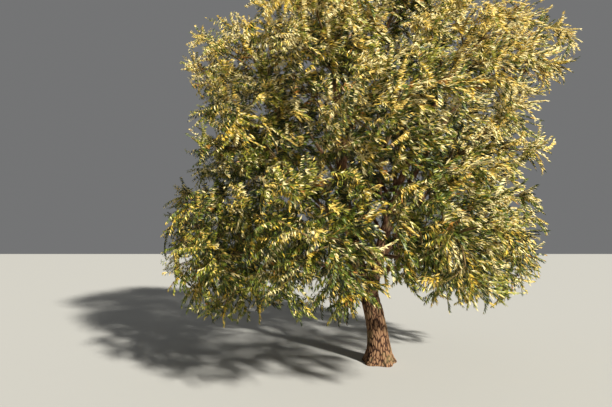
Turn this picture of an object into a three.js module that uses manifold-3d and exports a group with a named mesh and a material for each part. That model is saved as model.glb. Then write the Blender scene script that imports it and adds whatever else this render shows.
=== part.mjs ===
// Broad-crowned willow of a river bank: a short leaning trunk, boughs that spread from its fork,
// and a crown of leafy masses whose lowest ones hang round the space under the boughs.
// Millimetres, +Z up, +X to the viewer's right. The origin is the middle of the flat cut at ground level.

import * as THREE from "three";
import { mergeVertices } from "three/addons/utils/BufferGeometryUtils.js";
import Module from "manifold-3d";

const wasm = await Module();
wasm.setup();

// Driving dimensions

const CLEARANCE = 0.3; // gap between pieces that touch
const SIMPLIFY = 0.2; // flat faces closer than this are one
const WELD = 0.001; // corners closer than this are one
const UP = new THREE.Vector3(0, 0, 1);
const EVEN_TURN = Math.PI * (3 - Math.sqrt(5)); // spreads directions evenly over a ball

const TRUNK = {
  fork: [-340, 40, 1950], // the trunk leans to the left as it rises
  bendHeight: 1000,
  footRadius: 250,
  forkRadius: 212,
  flare: 150, // how far the roots' flare stands out at the ground
  flareHeight: 240,
  buttresses: 5,
  buttressDepth: 0.3,
  sides: 20,
  rings: [0, 0.03, 0.08, 0.16, 0.28, 0.45, 0.65, 0.85, 1],
};

const BOUGH = {
  tipRadius: 33,
  taperPerMetre: 7, // how much a bough thickens towards its foot, besides what it feeds
  thickestShare: 0.8, // of the limb that it springs from
  angleRoom: 20,
  crowding: 300, // boughs spring at least this far apart, where they can
  crowdingCost: 1.5,
  swing: 0.05, // sideways, as a share of a bough's length
  entry: 0.86, // where a bough enters its mass, as a share of the way back from the lobe's middle
  segmentLength: 620,
};

// Inside a mass, with depths as a share of the way from its middle to its outside
const STEM = { lead: 90, depth: 0.45, tipRadius: 14 };
const STEM_SHARES = [0.1, 0.25, 0.4, 0.55, 0.7, 0.85, 0.98]; // where branches may spring on it
const BRANCH = { depth: 0.7, footRadius: 22, tipRadius: 13 };
const BRANCH_SHARES = [0.2, 0.3, 0.4, 0.5, 0.6, 0.7, 0.8, 0.9, 0.97]; // where leaves may spring on it
const TWIG_RULE = { angle: 48, angleRoom: 30, crowding: 70, crowdingCost: 4 };
const LEAF = { angle: 55, slimness: 0.35, thickness: 0.0105, widestAt: 0.42, tries: 6 };
const LEAF_LENGTH = 0.72; // as a share of its lobe's half width
const SHORTEST_LEAF = 0.35;
const BACK = -0.35; // ends aren't sought further back than this, towards the bough
const SPACE_GAP = 6; // each mass keeps this far inside its own space
const LOWEST_LEAF = 820; // height of the lowest hanging leaf
const FULLNESS = 2.5; // of a lobe's outline: 2 is an ellipsoid, and more is fuller

// The crown is rings of lobes. Shape: x and z are the middle of a ring, reach is how far its lobes
// stand from there, and wide and tall are a lobe's half sizes. Growth: the boughs of a ring leave their
// carriers at its angle and rise by at least this share of their way outwards, droop is how far the
// twigs hang, and each lobe has its branches and leaves.
const RINGS = [
  { name: "tip", count: 1, turn: 0, x: -100, z: 9700, reach: 0, wide: 1500, tall: 1250,
    angle: 0, rise: 0, droop: 0, branches: 5, leaves: 12 },
  { name: "top", count: 4, turn: 200, x: -200, z: 9000, reach: 1350, wide: 1480, tall: 1250,
    angle: 30, rise: 1, droop: 0, branches: 6, leaves: 14 },
  { name: "shoulder", count: 6, turn: 180, x: 0, z: 7250, reach: 3150, wide: 1650, tall: 1200,
    angle: 30, rise: 1, droop: 0.1, branches: 6, leaves: 18 },
  { name: "waist", count: 6, turn: 210, x: -200, z: 5000, reach: 2900, wide: 1650, tall: 1450,
    angle: 45, rise: 0.5, droop: 0.3, branches: 6, leaves: 17 },
  { name: "skirt", count: 9, turn: 171, x: -450, z: 2750, reach: 3200, wide: 1500, tall: 1650,
    angle: 60, rise: 0, droop: 0.7, branches: 5, leaves: 15 },
  { name: "tuft", count: 1, turn: 240, x: -300, z: 1650, reach: 1150, wide: 520, tall: 780,
    angle: 70, rise: -9, droop: 1, branches: 3, leaves: 9 },
  { name: "heart", count: 1, turn: 0, x: 250, z: 7100, reach: 0, wide: 1550, tall: 1250,
    angle: 30, rise: 1, droop: 0, branches: 6, leaves: 11 },
  { name: "core", count: 1, turn: 0, x: 500, z: 4550, reach: 0, wide: 1450, tall: 1350,
    angle: 30, rise: 1, droop: 0, branches: 6, leaves: 10 },
];

// Single lobes that stand apart from their ring in height, reach, width and tallness
const OWN_SHAPE = {
  top_2: { z: -450, reach: 650 },
  top_4: { z: -350, reach: 600 },
  shoulder_1: { reach: 150 },
  shoulder_2: { z: -450, reach: -250 },
  shoulder_3: { z: -900, reach: -450 },
  shoulder_4: { z: 200, reach: 150 },
  shoulder_5: { z: -350, tall: 150 },
  shoulder_6: { z: 100, reach: -150, tall: 100 },
  waist_3: { reach: -550 },
  waist_4: { z: 250, reach: 400 },
  waist_5: { z: 350, reach: 350, tall: 100 },
  waist_6: { z: 200, reach: 300 },
  skirt_1: { z: 350, reach: 150, wide: 200, tall: 250 },
  skirt_3: { z: 200, tall: -100 },
  skirt_4: { z: 350, tall: -150 },
  skirt_5: { z: 250, reach: -650, tall: -300 },
  skirt_7: { z: 250, reach: 150 },
};

// Seeded numbers from 0 to 1
function seeded(seed) {
  let state = seed;
  return () => {
    state = (state * 1664525 + 1013904223) % 4294967296;
    return state / 4294967296;
  };
}

// Lobes

// The half size of a lobe along a direction
function extent(lobe, way) {
  const parts = way.clone().divide(lobe.half).toArray();
  const sum = parts.reduce((total, part) => total + Math.abs(part) ** FULLNESS, 0);
  return sum ** (-1 / FULLNESS);
}

// The flat wall between two lobes that meet, nearer to the smaller one
function wallBetween(lobe, other) {
  const normal = other.middle.clone().sub(lobe.middle).normalize();
  const apart = lobe.middle.distanceTo(other.middle);
  const own = extent(lobe, normal);
  const theirs = extent(other, normal);
  const share = 0.5 + (own * own - theirs * theirs) / (2 * apart * apart);
  return { normal, distance: normal.dot(lobe.middle) + apart * share, meets: own + theirs > apart };
}

// The lobes of all rings. A lobe's own space is its rounded shape, less what lies past its walls.
function makeLobes() {
  const lobes = RINGS.flatMap((ring, ringIndex) =>
    Array.from({ length: ring.count }, (_, i) => {
      const name = ring.count > 1 ? `${ring.name}_${i + 1}` : ring.name;
      const own = { z: 0, reach: 0, wide: 0, tall: 0, ...OWN_SHAPE[name] };
      const turn = THREE.MathUtils.degToRad(ring.turn + (360 * i) / ring.count);
      const reach = ring.reach + own.reach;
      const middle = new THREE.Vector3(reach, 0, ring.z + own.z).applyAxisAngle(UP, turn);
      middle.x += ring.x;
      const wide = ring.wide + own.wide;
      const half = new THREE.Vector3(wide, wide, ring.tall + own.tall);
      return { ...ring, name, middle, half, seed: 100 * (ringIndex + 1) + i };
    }),
  );
  const floor = { normal: UP.clone().negate(), distance: -LOWEST_LEAF };
  for (const lobe of lobes) {
    const walls = lobes.filter((other) => other !== lobe).map((other) => wallBetween(lobe, other));
    lobe.walls = [floor, ...walls.filter((wall) => wall.meets)];
  }
  return lobes;
}

// How far one can go from a lobe's middle along a direction inside its own space
function room(lobe, way) {
  let far = extent(lobe, way);
  for (const wall of lobe.walls) {
    const rate = wall.normal.dot(way);
    if (rate > 1e-9) far = Math.min(far, (wall.distance - wall.normal.dot(lobe.middle)) / rate);
  }
  return Math.max(0, far - SPACE_GAP);
}

function isInside(lobe, point) {
  const offset = point.clone().sub(lobe.middle);
  const isOutOfShape = offset.length() > 1.05 * extent(lobe, offset.clone().normalize());
  return !isOutOfShape && lobe.walls.every((wall) => wall.distance - wall.normal.dot(point) > SPACE_GAP / 2);
}

// The growth rule, for boughs, branches and leaves alike

// Where on its carriers a limb, branch or leaf springs. The way from there to its end is short, or
// near the rule's length, leaves the carrier at about the rule's angle, and hangs if the rule droops.
function springFrom(end, carriers, rule) {
  let best = null;
  for (const carrier of carriers) {
    for (const share of carrier.shares) {
      const foot = carrier.path.getPoint(share);
      const along = carrier.path.getTangent(share);
      const way = end.clone().sub(foot);
      const reach = way.length();
      if (way.z < (rule.rise ?? -Infinity) * Math.hypot(way.x, way.y)) continue;
      const off = (THREE.MathUtils.radToDeg(along.angleTo(way)) - rule.angle) / rule.angleRoom;
      const far = rule.length ? 1 + ((reach / rule.length - 1) * 3) ** 2 : reach;
      const hang = 1 + (rule.droop ?? 0) * (1 + way.z / reach);
      const isNear = (other) => Math.abs(other - share) * carrier.length < rule.crowding;
      const isCrowded = carrier.taken.some(isNear);
      const cost = far * (1 + off * off) ** 2 * hang ** 2 * (isCrowded ? rule.crowdingCost : 1);
      if (!best || cost < best.cost) best = { cost, carrier, share, foot, along, way };
    }
  }
  return best;
}

// Evenly spread ends inside a lobe, at about this depth
function endsIn(lobe, count, depth, random) {
  const across = lobe.heading.clone().cross(UP).normalize();
  const other = lobe.heading.clone().cross(across);
  return Array.from({ length: count }, (_, i) => {
    const onward = 1 - ((1 - BACK) * (i + 0.5)) / count;
    const turn = i * EVEN_TURN + random() * 0.7;
    const flat = Math.sqrt(1 - onward * onward);
    const way = lobe.heading
      .clone()
      .multiplyScalar(onward)
      .addScaledVector(across, flat * Math.cos(turn))
      .addScaledVector(other, flat * Math.sin(turn));
    const share = depth * (1 - 0.1 * random());
    return lobe.middle.clone().addScaledVector(way, room(lobe, way) * share);
  });
}

// Limbs

// What a limb needs so that others can spring from it
function limbOn(path, shares, fields) {
  return { path, shares, length: path.getLength(), taken: [], feeds: 1, ...fields };
}

// The trunk is upright through its flare, so that it ends in a level face, and leans above that
function makeTrunk() {
  const foot = new THREE.Vector3(0, 0, 0);
  const straight = new THREE.Vector3(0, 0, TRUNK.flareHeight);
  const bend = new THREE.Vector3(0, 0, TRUNK.bendHeight);
  const fork = new THREE.Vector3(...TRUNK.fork);
  const path = new THREE.CurvePath();
  path.add(new THREE.LineCurve3(foot, straight));
  path.add(new THREE.QuadraticBezierCurve3(straight, bend, fork));
  const radii = { footRadius: TRUNK.footRadius, tipRadius: TRUNK.forkRadius };
  return limbOn(path, [0.72, 0.8, 0.88, 0.95], { name: "trunk", ...radii });
}

// A lobe's heading is away from a point on the line of the trunk that is lower than the lobe
function setHeading(lobe) {
  const [x, y, z] = TRUNK.fork;
  const away = Math.hypot(lobe.middle.x - x, lobe.middle.y - y);
  const height = Math.max(z * 0.9, lobe.middle.z - 0.85 * away);
  const hub = new THREE.Vector3(x * Math.min(1, height / z), y, height);
  lobe.heading = lobe.middle.clone().sub(hub).normalize();
  const back = lobe.heading.clone().negate();
  lobe.entry = lobe.middle.clone().addScaledVector(back, room(lobe, back) * BOUGH.entry);
}

// A path that bends from the way a bough leaves its foot to the way it enters its mass
function boughPath(foot, leave, handle, swing, lobe) {
  const way = lobe.entry.clone().sub(foot);
  const reach = way.length();
  const arrive = way.clone().normalize().addScaledVector(lobe.heading, 0.8).normalize();
  const sideways = way.cross(UP).normalize().multiplyScalar(swing * reach);
  return new THREE.CubicBezierCurve3(
    foot,
    foot.clone().addScaledVector(leave, reach * handle).add(sideways),
    lobe.entry.clone().addScaledVector(arrive, -reach * 0.3).sub(sideways),
    lobe.entry,
  );
}

// The leader goes on from the trunk's top, and every later bough springs from a limb before it
function planBough(lobe, limbs) {
  const name = `bough_${lobe.name}`;
  const shares = [0.12, 0.2, 0.28, 0.36, 0.44, 0.52, 0.6, 0.68, 0.76];
  if (limbs.length === 1) {
    const along = limbs[0].path.getTangent(1);
    const foot = limbs[0].path.getPoint(1).addScaledVector(along, CLEARANCE);
    const path = boughPath(foot, along, 0.12, 0, lobe);
    return limbOn(path, shares, { name, carrier: limbs[0], share: 1, thickest: 0.92 });
  }
  const { angle, rise } = lobe;
  const { carrier, share, foot, along, way } = springFrom(lobe.entry, limbs, { ...BOUGH, angle, rise });
  carrier.taken.push(share);
  const leave = way.normalize().addScaledVector(along, 0.55).normalize();
  const swing = (2 * seeded(lobe.seed + 50)() - 1) * BOUGH.swing;
  const path = boughPath(foot, leave, 0.36, swing, lobe);
  return limbOn(path, shares, { name, carrier, share, thickest: BOUGH.thickestShare });
}

function radiusAt(limb, share) {
  return THREE.MathUtils.lerp(limb.footRadius, limb.tipRadius, share);
}

// A bough is as thick as the masses that it feeds ask, and thinner than its carrier
function setRadii(boughs) {
  for (const bough of [...boughs].reverse()) bough.carrier.feeds += bough.feeds;
  for (const bough of boughs) {
    const wanted = BOUGH.tipRadius * Math.sqrt(bough.feeds) + (BOUGH.taperPerMetre * bough.length) / 1000;
    bough.footRadius = Math.min(wanted, radiusAt(bough.carrier, bough.share) * bough.thickest);
    bough.tipRadius = Math.min(BOUGH.tipRadius, bough.footRadius * 0.8);
  }
}

// Solids

function solidOf(geometry, weld) {
  const merged = mergeVertices(geometry, weld);
  const triVerts = new Uint32Array(merged.index.array);
  return new wasm.Manifold(
    new wasm.Mesh({ numProp: 3, vertProperties: merged.attributes.position.array, triVerts }),
  );
}

// A three.js shape with each of its corners moved, as a solid
function moved(geometry, move) {
  geometry.deleteAttribute("normal");
  geometry.deleteAttribute("uv");
  const position = geometry.attributes.position;
  for (let i = 0; i < position.count; i++) {
    const corner = move(position.getX(i), position.getY(i), position.getZ(i));
    position.setXYZ(i, corner.x, corner.y, corner.z);
  }
  return solidOf(geometry, 1e-4);
}

// The largest closed body of a solid, as a mesh of 32-bit numbers holds it: loose scraps are dropped
// and sealed hollows are filled
function largestBody(solid) {
  const { vertProperties, triVerts } = solid.simplify(SIMPLIFY).getMesh();
  const geometry = new THREE.BufferGeometry()
    .setAttribute("position", new THREE.BufferAttribute(new Float32Array(vertProperties), 3))
    .setIndex(new THREE.BufferAttribute(triVerts, 1));
  const bodies = solidOf(geometry, WELD).decompose();
  return bodies.sort((a, b) => b.volume() - a.volume())[0];
}

// A tube of round sections along a path, closed at both ends. radius takes the share of the way
// along the path and the angle round it. A grown tube is larger all round, to cut its neighbours.
function tube(path, radius, sides, shares, grow = 0) {
  let across = Math.abs(path.getTangent(shares[0]).x) < 0.7 ? new THREE.Vector3(1, 0, 0) : UP;
  const frames = shares.map((share) => {
    const along = path.getTangent(share);
    across = across.clone().projectOnPlane(along).normalize();
    return { share, middle: path.getPoint(share), along, across, other: along.clone().cross(across) };
  });
  frames[0].middle.addScaledVector(frames[0].along, -grow);
  frames.at(-1).middle.addScaledVector(frames.at(-1).along, grow);
  return moved(new THREE.CylinderGeometry(1, 1, 1, sides, shares.length - 1), (x, y, z) => {
    const frame = frames[Math.round((y + 0.5) * (shares.length - 1))];
    const angle = Math.atan2(z, x);
    const out = Math.hypot(x, z) < 0.5 ? 0 : radius(frame.share, angle) + grow;
    return frame.middle
      .clone()
      .addScaledVector(frame.across, out * Math.cos(angle))
      .addScaledVector(frame.other, -out * Math.sin(angle));
  });
}

// The trunk tapers, and at its foot it flares in buttresses
function trunkSolid(trunk, grow) {
  const radius = (share, angle) => {
    const flare = TRUNK.flare * Math.exp((-share * TRUNK.fork[2]) / TRUNK.flareHeight);
    const ripple = 1 + TRUNK.buttressDepth * Math.cos(TRUNK.buttresses * angle + 0.6);
    return radiusAt(trunk, share) + flare * ripple;
  };
  return tube(trunk.path, radius, TRUNK.sides, TRUNK.rings, grow);
}

function boughSolid(bough, grow) {
  const rings = Math.max(3, Math.round(bough.length / BOUGH.segmentLength));
  const shares = Array.from({ length: rings + 1 }, (_, i) => i / rings);
  const sides = bough.feeds > 2 ? 8 : 5;
  return tube(bough.path, (share) => radiusAt(bough, share), sides, shares, grow);
}

// A path of straight pieces, so that what springs from it meets the solid round it
function straightPath(points) {
  const path = new THREE.CurvePath();
  for (let i = 1; i < points.length; i++) path.add(new THREE.LineCurve3(points[i - 1], points[i]));
  return path;
}

// A twig with three sides
function twigSolid(path, footRadius, tipRadius) {
  const lengths = path.getCurveLengths();
  const shares = [0, ...lengths.map((length) => length / lengths.at(-1))];
  return tube(path, (share) => THREE.MathUtils.lerp(footRadius, tipRadius, share), 3, shares);
}

// A leaf that stands for a spray: a thin blade, widest before its middle. Its root is on the middle
// line of the branch.
function leafSolid(lobe, foot, tip, roll) {
  const along = tip.clone().sub(foot);
  const length = along.length();
  along.normalize();
  const outwards = tip.clone().sub(lobe.middle);
  const normal = outwards.projectOnPlane(along).normalize().applyAxisAngle(along, roll);
  const across = along.clone().cross(normal);
  return moved(new THREE.OctahedronGeometry(1), (x, y, z) => {
    const onward = z > 0.5 ? 1 : z < -0.5 ? 0 : LEAF.widestAt;
    return foot
      .clone()
      .addScaledVector(along, length * onward)
      .addScaledVector(across, (length * LEAF.slimness * x) / 2)
      .addScaledVector(normal, (-length * LEAF.thickness * y) / 2);
  });
}

function isClear(solid, others) {
  const { min, max } = solid.boundingBox();
  return others.every((other) => {
    const box = other.boundingBox();
    const isApart = [0, 1, 2].some((k) => box.min[k] > max[k] || box.max[k] < min[k]);
    return isApart || solid.intersect(other).isEmpty();
  });
}

function keepsToSpace(lobe, solid) {
  const { numVert, vertProperties } = solid.getMesh();
  const corner = new THREE.Vector3();
  return Array.from({ length: numVert }, (_, i) => corner.fromArray(vertProperties, i * 3)).every(() =>
    isInside(lobe, corner),
  );
}

// Masses

// The stem goes on from the bough's tip, past the lobe's middle
function makeStem(lobe) {
  const along = lobe.bough.path.getTangent(1);
  const foot = lobe.entry.clone().addScaledVector(along, CLEARANCE);
  const lead = foot.clone().addScaledVector(along, STEM.lead);
  const tip = lobe.middle
    .clone()
    .addScaledVector(lobe.heading, room(lobe, lobe.heading) * STEM.depth)
    .addScaledVector(UP, -lobe.droop * lobe.half.z * 0.2);
  const turn = lead.clone().addScaledVector(along, lead.distanceTo(tip) / 2);
  const bent = new THREE.QuadraticBezierCurve3(lead, turn, tip);
  return limbOn(straightPath([foot, ...bent.getPoints(2)]), STEM_SHARES);
}

// Branches from the stem. One that would touch a limb is skipped.
function makeBranches(lobe, stem, obstacles, random) {
  const branches = [];
  for (const end of endsIn(lobe, lobe.branches, BRANCH.depth, random)) {
    const { foot } = springFrom(end, [stem], TWIG_RULE);
    const path = straightPath([foot, end]);
    const solid = twigSolid(path, BRANCH.footRadius, BRANCH.tipRadius);
    if (isClear(solid, obstacles)) branches.push(limbOn(path, BRANCH_SHARES, { solid }));
  }
  return branches;
}

// Leaves from the branches. One that would touch a limb or another leaf, or leave the lobe's own
// space, is turned about itself, and skipped after some tries.
function makeLeaves(lobe, branches, obstacles, random) {
  const rule = { ...TWIG_RULE, angle: LEAF.angle, length: LEAF_LENGTH * lobe.half.x, droop: lobe.droop };
  const leaves = [];
  for (const end of endsIn(lobe, lobe.leaves, 1, random)) {
    const { foot, way, carrier, share } = springFrom(end, branches, rule);
    if (way.length() < SHORTEST_LEAF * lobe.half.x) continue;
    const others = branches.filter((branch) => branch !== carrier).map((branch) => branch.solid);
    for (let i = 0; i < LEAF.tries; i++) {
      const roll = (random() - 0.5) * (0.4 + 0.4 * i) * Math.PI;
      const leaf = leafSolid(lobe, foot, end, roll);
      if (!keepsToSpace(lobe, leaf) || !isClear(leaf, [...obstacles, ...others, ...leaves])) continue;
      leaves.push(leaf);
      carrier.taken.push(share);
      break;
    }
  }
  return leaves;
}

function massSolid(lobe, limbs) {
  const random = seeded(lobe.seed);
  const obstacles = limbs.map((limb) => limb.grown);
  const stem = makeStem(lobe);
  const stemSolid = twigSolid(stem.path, lobe.bough.tipRadius * 0.94, STEM.tipRadius);
  const branches = makeBranches(lobe, stem, obstacles, random);
  const leaves = makeLeaves(lobe, branches, [...obstacles, stemSolid], random);
  return largestBody(wasm.Manifold.union([stemSolid, ...branches.map((branch) => branch.solid), ...leaves]));
}

// Materials

const bark = new THREE.MeshStandardMaterial({ color: 0x5b4737, roughness: 0.92, metalness: 0 });
const foliage = new THREE.MeshStandardMaterial({ color: 0x7c8446, roughness: 0.62, metalness: 0 });

function meshOf(name, solid, material) {
  const { numProp, numVert, vertProperties, triVerts } = solid.getMesh();
  const position = new Float32Array(numVert * 3);
  for (let i = 0; i < numVert; i++) {
    position.set(vertProperties.subarray(i * numProp, i * numProp + 3), i * 3);
  }
  const geometry = new THREE.BufferGeometry()
    .setAttribute("position", new THREE.BufferAttribute(position, 3))
    .setIndex(new THREE.BufferAttribute(triVerts, 1));
  const mesh = new THREE.Mesh(geometry, material);
  mesh.name = name;
  return mesh;
}

// Assembly

function makeTree() {
  const tree = new THREE.Group();
  const lobes = makeLobes();
  const trunk = makeTrunk();
  const limbs = [trunk];
  for (const lobe of lobes) {
    setHeading(lobe);
    lobe.bough = planBough(lobe, limbs);
    limbs.push(lobe.bough);
  }
  setRadii(limbs.slice(1));
  for (const limb of limbs) {
    const make = limb === trunk ? trunkSolid : boughSolid;
    limb.grown = make(limb, CLEARANCE + 0.15);
    limb.solid = make(limb, 0);
  }
  limbs.forEach((limb, i) => {
    const earlier = limbs.slice(limb.share === 1 ? i : 0, i);
    const cut = earlier.reduce((solid, other) => solid.subtract(other.grown), limb.solid);
    tree.add(meshOf(limb.name, largestBody(cut), bark));
  });
  for (const lobe of lobes) tree.add(meshOf(`leaves_${lobe.name}`, massSolid(lobe, limbs), foliage));
  return tree;
}

export default makeTree();
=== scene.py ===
# A riverside willow, grown round its solid model: bark with relief on the trunk and boughs, which
# carry on into branches, twigs, shoots and narrow leaves turned by the wind. Metres, +Z up, +X to
# the viewer's right.

import math

import bmesh
import bpy
import numpy as np
from bpy.props import FloatProperty, FloatVectorProperty, PointerProperty
from mathutils import Matrix, Vector, noise


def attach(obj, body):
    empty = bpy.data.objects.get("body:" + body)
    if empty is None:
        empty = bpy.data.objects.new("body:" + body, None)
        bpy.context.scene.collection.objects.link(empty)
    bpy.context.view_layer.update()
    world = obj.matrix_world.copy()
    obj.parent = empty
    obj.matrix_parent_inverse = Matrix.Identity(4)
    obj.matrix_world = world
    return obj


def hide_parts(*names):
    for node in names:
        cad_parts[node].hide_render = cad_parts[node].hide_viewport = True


bl_info = {
    "name": "Riverside Willow",
    "version": (1, 0, 0),
    "blender": (4, 5, 0),
    "location": "3D View > Sidebar > Willow",
    "description": "Grows bark, twigs and leaves round the solid model of a willow",
    "category": "Add Mesh",
}

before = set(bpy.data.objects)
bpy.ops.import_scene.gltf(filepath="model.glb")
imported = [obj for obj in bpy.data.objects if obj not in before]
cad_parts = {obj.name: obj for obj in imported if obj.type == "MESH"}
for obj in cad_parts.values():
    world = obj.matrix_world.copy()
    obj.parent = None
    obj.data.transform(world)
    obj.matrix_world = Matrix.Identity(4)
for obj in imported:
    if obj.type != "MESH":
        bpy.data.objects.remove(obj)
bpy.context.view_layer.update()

# The source's driving dimensions

CLEARANCE = 0.0003
UP = np.array((0.0, 0.0, 1.0))
EVEN_TURN = math.pi * (3 - math.sqrt(5))  # spreads directions evenly over a ball

TRUNK = {
    "fork": (-0.34, 0.04, 1.95),
    "bend_height": 1.0,
    "foot_radius": 0.25,
    "fork_radius": 0.212,
    "flare": 0.15,
    "flare_height": 0.24,
    "buttresses": 5,
    "buttress_depth": 0.3,
    "buttress_turn": 0.6,
    "shares": (0.72, 0.8, 0.88, 0.95),
}
BOUGH = {
    "tip_radius": 0.033,
    "tip_share": 0.8,  # of the foot's radius at most
    "taper_per_metre": 0.007,
    "thickest_share": 0.8,
    "entry": 0.86,
    "leave": 0.55,  # how far it keeps to its carrier's way at first
    "arrive": 0.8,  # and to its lobe's heading at last
    "handle_out": 0.36,
    "handle_in": 0.3,
    "swing": 0.05,
    "crowding": 0.3,
    "shares": (0.12, 0.2, 0.28, 0.36, 0.44, 0.52, 0.6, 0.68, 0.76),
}
LEADER = {"handle_out": 0.12, "thickest_share": 0.92}
BOUGH_RULE = {"angle_room": 20, "crowding_cost": 1.5}
LENGTH_COST = 3  # how strongly a limb keeps to its rule's length
HUB = {"lowest": 0.9, "slope": 0.85}  # the point that a lobe heads away from
STEM = {"depth": 0.45, "sag": 0.2, "tip_radius": 0.014, "points": 10, "sides": 10}
STEM["foot_radius"] = BOUGH["tip_radius"] * 0.94
SPACE_GAP = 0.006
LOWEST_LEAF = 0.82
FULLNESS = 2.5

# name, count, turn, x, z, reach, wide, tall, angle, rise, droop, branches
RINGS = (
    ("tip", 1, 0, -0.1, 9.7, 0, 1.5, 1.25, 0, 0, 0, 5),
    ("top", 4, 200, -0.2, 9.0, 1.35, 1.48, 1.25, 30, 1, 0, 6),
    ("shoulder", 6, 180, 0, 7.25, 3.15, 1.65, 1.2, 30, 1, 0.1, 6),
    ("waist", 6, 210, -0.2, 5.0, 2.9, 1.65, 1.45, 45, 0.5, 0.3, 6),
    ("skirt", 9, 171, -0.45, 2.75, 3.2, 1.5, 1.65, 60, 0, 0.7, 5),
    ("tuft", 1, 240, -0.3, 1.65, 1.15, 0.52, 0.78, 70, -9, 1, 3),
    ("heart", 1, 0, 0.25, 7.1, 0, 1.55, 1.25, 30, 1, 0, 6),
    ("core", 1, 0, 0.5, 4.55, 0, 1.45, 1.35, 30, 1, 0, 6),
)

# Single lobes that stand apart from their ring: more height, reach, width and tallness
OWN_SHAPE = {
    "top_2": (-0.45, 0.65, 0, 0),
    "top_4": (-0.35, 0.6, 0, 0),
    "shoulder_1": (0, 0.15, 0, 0),
    "shoulder_2": (-0.45, -0.25, 0, 0),
    "shoulder_3": (-0.9, -0.45, 0, 0),
    "shoulder_4": (0.2, 0.15, 0, 0),
    "shoulder_5": (-0.35, 0, 0, 0.15),
    "shoulder_6": (0.1, -0.15, 0, 0.1),
    "waist_3": (0, -0.55, 0, 0),
    "waist_4": (0.25, 0.4, 0, 0),
    "waist_5": (0.35, 0.35, 0, 0.1),
    "waist_6": (0.2, 0.3, 0, 0),
    "skirt_1": (0.35, 0.15, 0.2, 0.25),
    "skirt_3": (0.2, 0, 0, -0.1),
    "skirt_4": (0.35, 0, 0, -0.15),
    "skirt_5": (0.25, -0.65, 0, -0.3),
    "skirt_7": (0.25, 0.15, 0, 0),
}

# Finer growth than the source's, by the same rule. Depths are shares of the way from a lobe's
# middle to its outside.
BRANCHES_PER_SOLID = 1.5  # for each branch that the solid model has
BRANCH_RULE = {"angle": 48, "angle_room": 30, "shares": (0.1, 0.25, 0.4, 0.55, 0.7, 0.85, 0.98)}
BRANCH = {"depth": 0.7, "foot_radius": 0.022, "tip_radius": 0.008, "points": 7, "sides": 6}
TWIG_RULE = {"angle": 45, "angle_room": 30, "shares": tuple(np.linspace(0.2, 0.98, 9))}
TWIG = {
    "depth": 0.35, "margin": 0.28, "foot_radius": 0.008, "tip_radius": 0.0035, "points": 6, "sides": 3
}
SHOOT_RULE = {"angle": 38, "angle_room": 30, "length": 0.42, "shares": tuple(np.linspace(0.15, 1, 12))}
SHOOT = {
    "depth": 0.25, "margin": 0.11, "foot_radius": 0.0032, "tip_radius": 0.001, "points": 3, "sides": 3
}
SHOOT_LENGTHS = (0.12, 1.0)
TWIG_CHOICE = {"candidates": 50, "for_each": 10, "fewest": 8}  # candidates in a cubic metre
SPRING = {"along": 0.7, "arch": 0.5, "handle": 0.5}  # how limbs in a lobe leave their carriers
BACK = -0.35  # branches aren't sought further back than this, towards the bough
CLEAR = {"gap": 0.05, "step": 0.12, "near": 0.3}  # between foliage and limbs, with the search's sizes
ODD_WAY = np.array((0.3, 0.5, 0.8))  # a direction that no twig has

# Depth in the crown, in metres of it outside a point on the way out. That way is level at one
# height, and rises or falls with the height above or below it.
WAY_OUT = {"level": 5.5, "metres": 3.5, "rises": (-0.4, 2.0)}
COVER = {"step": 0.2, "steps": 15}
THINNING = {"start": 0.9, "over": 1.5}  # depths over which the foliage thins out
SHADE_DENSITY = 0.3  # what is left of it beyond them
PAINTED_SHADE_DEPTHS = {"start": 0.8, "over": 1.2}  # depths over which the leaves turn to the darker kinds: painted shade
DEEP_GROWTH = ((0.0, 1.2), (0.9, 1.55))  # depths, and how large leaves are drawn there
INNER = 0.15  # leaves deeper than this have the inner outline

# Leaves
OUTLINE = ((0.28, 1.0), (0.64, 0.72))  # shares along a leaf, and of its full width there
INNER_OUTLINE = ((0.42, 1.0),)  # of a leaf that others hide
LEAVES_PER_SHOOT = (6, 48)
BARE_FOOT = 0.12  # of a shoot has no leaves
IN_STRETCH = 0.6  # where a leaf is on its own stretch of the shoot
OPENING = {"foot": 52, "closing": 26, "spread": 8}  # degrees between leaf and shoot
TIP_LEAVES = 0.3  # how much smaller the last leaves of a shoot are
WIND_WAY = np.array((1.0, 0.15, 0.02))
CALM = ((1.0, 5.0), (0.35, 1.0))  # heights, and the wind's strength there
CAUGHT = 0.6  # of the leaves are rolled by the wind so that a flat side faces up and out
CAUGHT_ROLL = (1.05, 0.5)  # their roll in radians: its mean and its spread
HANG = (0.12, 0.5)  # the leaves' pull downwards, and what a lobe that hangs adds to it
# Paler kinds on the lit right and top and darker ones low on the left are painted light and shade, besides
# undersides turned by the wind
WIND_AND_LIT_SIDE = {"across": 16, "height": 5, "middle": 4.1}  # metres over which paler kinds take over, partly as painted light
SPRAY_SHARE = 0.5  # of the leaves are of their spray's kind

# What is left to chance: the least that it is, and what is added to that at most
CHANCE = {
    "branch depth": (1, -0.1),
    "branch turn": (0, 0.7),
    "growth cost": (0.8, 0.4),
    "leaf turn": (0, 0.8),
    "gust": (0.6, 0.8),
    "flutter": (0.7, 0.6),
    "leaf size": (0.75, 0.35),
    "leaf width": (0.85, 0.3),
    "leaf bend": (-0.04, 0.28),
}

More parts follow.
